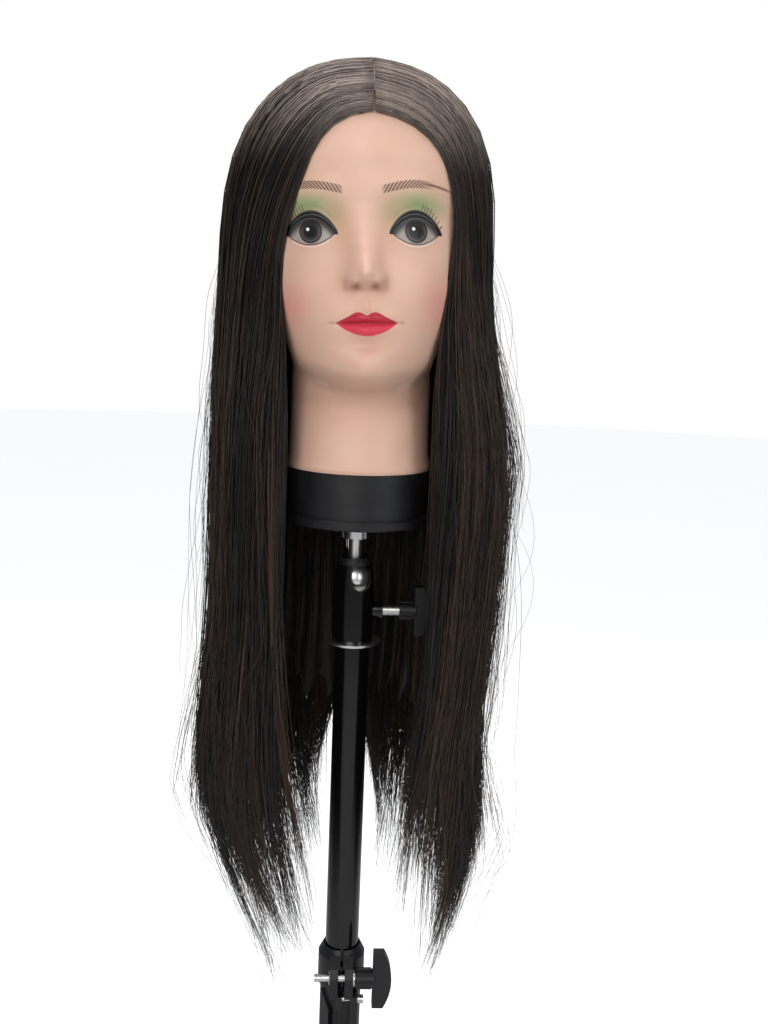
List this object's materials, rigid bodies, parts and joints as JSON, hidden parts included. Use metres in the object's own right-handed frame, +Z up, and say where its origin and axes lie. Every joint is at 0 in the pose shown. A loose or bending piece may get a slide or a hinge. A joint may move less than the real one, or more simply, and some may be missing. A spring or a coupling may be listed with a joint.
{
  "type": "mannequin training head",
  "caption": "Painted vinyl mannequin head with a long centre-parted wig, on a cap, a locking ball head, a telescopic mast and a folding tripod.",
  "frame": {"origin": "on the floor, on the mast's axis, with the tripod open and the mast at its lowest setting", "axes": "+Z up along the mast; the face looks along -Y; +X is to the viewer's right when looking at the face, where the knobs are"},
  "size_m": [0.4286, 0.3729, 1.0824],
  "materials": {
    "skin_vinyl": "soft painted vinyl skin with painted make-up",
    "hair_fibre": "glossy dark brown synthetic hair",
    "wig_lace": "pale lace of the parting",
    "black_plastic": "satin black moulded plastic",
    "gloss_black_metal": "glossy black enamel on metal",
    "painted_steel": "satin black paint on pressed steel",
    "chrome": "bright chrome plating",
    "zinc_steel": "zinc plated steel",
    "nylon": "white nylon",
    "foot_rubber": "black rubber"
  },
  "bodies": {
    "stand": {"outer_tube": "gloss_black_metal", "tube_end_cap": "black_plastic", "clamp_collar": "black_plastic", "clamp_washer": "zinc_steel", "clamp_nut": "zinc_steel", "tripod_hub": "black_plastic", "hub_screw": "zinc_steel", "leg_rivets": "zinc_steel"},
    "spider": {"lower_spider": "black_plastic"},
    "spider_lock": {"spider_screw": "zinc_steel", "spider_knob": "black_plastic"},
    "mast": {"mast_tube": "gloss_black_metal", "mast_glide": "black_plastic", "mast_plug": "black_plastic", "top_washer": "chrome", "ball_housing": "gloss_black_metal", "retaining_ring": "black_plastic"},
    "clamp_lock": {"clamp_screw": "zinc_steel", "clamp_knob": "black_plastic"},
    "ball_lock": {"ball_lock_screw": "zinc_steel", "ball_lock_knob": "black_plastic"},
    "ball_socket": {"ball_seat": "nylon"},
    "head": {"ball_stud": "chrome", "stud_nut": "chrome", "cap_insert": "zinc_steel", "mount_cap": "black_plastic", "head_shell": "skin_vinyl", "wig_crown": "hair_fibre", "parting_strip": "wig_lace"},
    "hair": {"hair_left": "hair_fibre", "hair_right": "hair_fibre", "hair_back": "hair_fibre"},
    "leg_1_body": {"leg_1": "painted_steel", "foot_1": "foot_rubber"},
    "brace_1_body": {"brace_1": "painted_steel", "brace_pins_1": "zinc_steel"},
    "leg_2_body": {"leg_2": "painted_steel", "foot_2": "foot_rubber"},
    "brace_2_body": {"brace_2": "painted_steel", "brace_pins_2": "zinc_steel"},
    "leg_3_body": {"leg_3": "painted_steel", "foot_3": "foot_rubber"},
    "brace_3_body": {"brace_3": "painted_steel", "brace_pins_3": "zinc_steel"}
  },
  "joints": [
    {"name": "leg_fold_1", "type": "hinge", "parent": "stand", "child": "leg_1_body", "pos_m": [0, -0.033, 0.345], "axis": [1, 0, 0], "range_deg": [0, 27]},
    {"name": "brace_swing_1", "type": "hinge", "parent": "leg_1_body", "child": "brace_1_body", "pos_m": [0, -0.098, 0.23242], "axis": [1, 0, 0], "range_deg": [-55.1, 0.3]},
    {"name": "leg_fold_2", "type": "hinge", "parent": "stand", "child": "leg_2_body", "pos_m": [0.02858, 0.0165, 0.345], "axis": [-0.5, 0.866, 0], "range_deg": [0, 27]},
    {"name": "brace_swing_2", "type": "hinge", "parent": "leg_2_body", "child": "brace_2_body", "pos_m": [0.08487, 0.049, 0.23242], "axis": [-0.5, 0.866, 0], "range_deg": [-55.1, 0.3]},
    {"name": "leg_fold_3", "type": "hinge", "parent": "stand", "child": "leg_3_body", "pos_m": [-0.02858, 0.0165, 0.345], "axis": [-0.5, -0.866, 0], "range_deg": [0, 27]},
    {"name": "brace_swing_3", "type": "hinge", "parent": "leg_3_body", "child": "brace_3_body", "pos_m": [-0.08487, 0.049, 0.23242], "axis": [-0.5, -0.866, 0], "range_deg": [-55.1, 0.3]},
    {"name": "spider_slide", "type": "slide", "parent": "stand", "child": "spider", "axis": [0, 0, -1], "range_m": [-0.0003, 0.0393]},
    {"name": "spider_knob_turn", "type": "hinge", "parent": "spider", "child": "spider_lock", "pos_m": [0.02035, -0.01175, 0.12585], "axis": [0.866, -0.5, 0], "continuous": true},
    {"name": "mast_height", "type": "slide", "parent": "stand", "child": "mast", "axis": [0, 0, 1], "range_m": [0, 0.22]},
    {"name": "clamp_knob_turn", "type": "hinge", "parent": "stand", "child": "clamp_lock", "pos_m": [0.0105, -0.022, 0.428], "axis": [1, 0, 0], "continuous": true},
    {"name": "ball_lock_turn", "type": "hinge", "parent": "mast", "child": "ball_lock", "pos_m": [0.033, 0, 0.7066], "axis": [1, 0, 0], "continuous": true},
    {"name": "head_turn", "type": "hinge", "parent": "mast", "child": "ball_socket", "pos_m": [0, 0, 0.7306], "axis": [0, 0, 1], "continuous": true},
    {"name": "head_nod", "type": "hinge", "parent": "ball_socket", "child": "head", "pos_m": [0, 0, 0.7306], "axis": [1, 0, 0], "range_deg": [-12, 8]},
    {"name": "hair_hang", "type": "hinge", "parent": "head", "child": "hair", "pos_m": [0, 0.02, 0.9456], "axis": [1, 0, 0], "range_deg": [-8.5, 12.5]}
  ],
  "couplings": [
    {"joint": "brace_swing_1", "follows": "leg_fold_1", "ratio": -2.0231},
    {"joint": "leg_fold_2", "follows": "leg_fold_1", "ratio": 1},
    {"joint": "brace_swing_2", "follows": "leg_fold_1", "ratio": -2.0231},
    {"joint": "leg_fold_3", "follows": "leg_fold_1", "ratio": 1},
    {"joint": "brace_swing_3", "follows": "leg_fold_1", "ratio": -2.0231},
    {"joint": "spider_slide", "follows": "leg_fold_1", "m_per_rad": 0.082388},
    {"joint": "hair_hang", "follows": "head_nod", "ratio": -1}
  ]
}
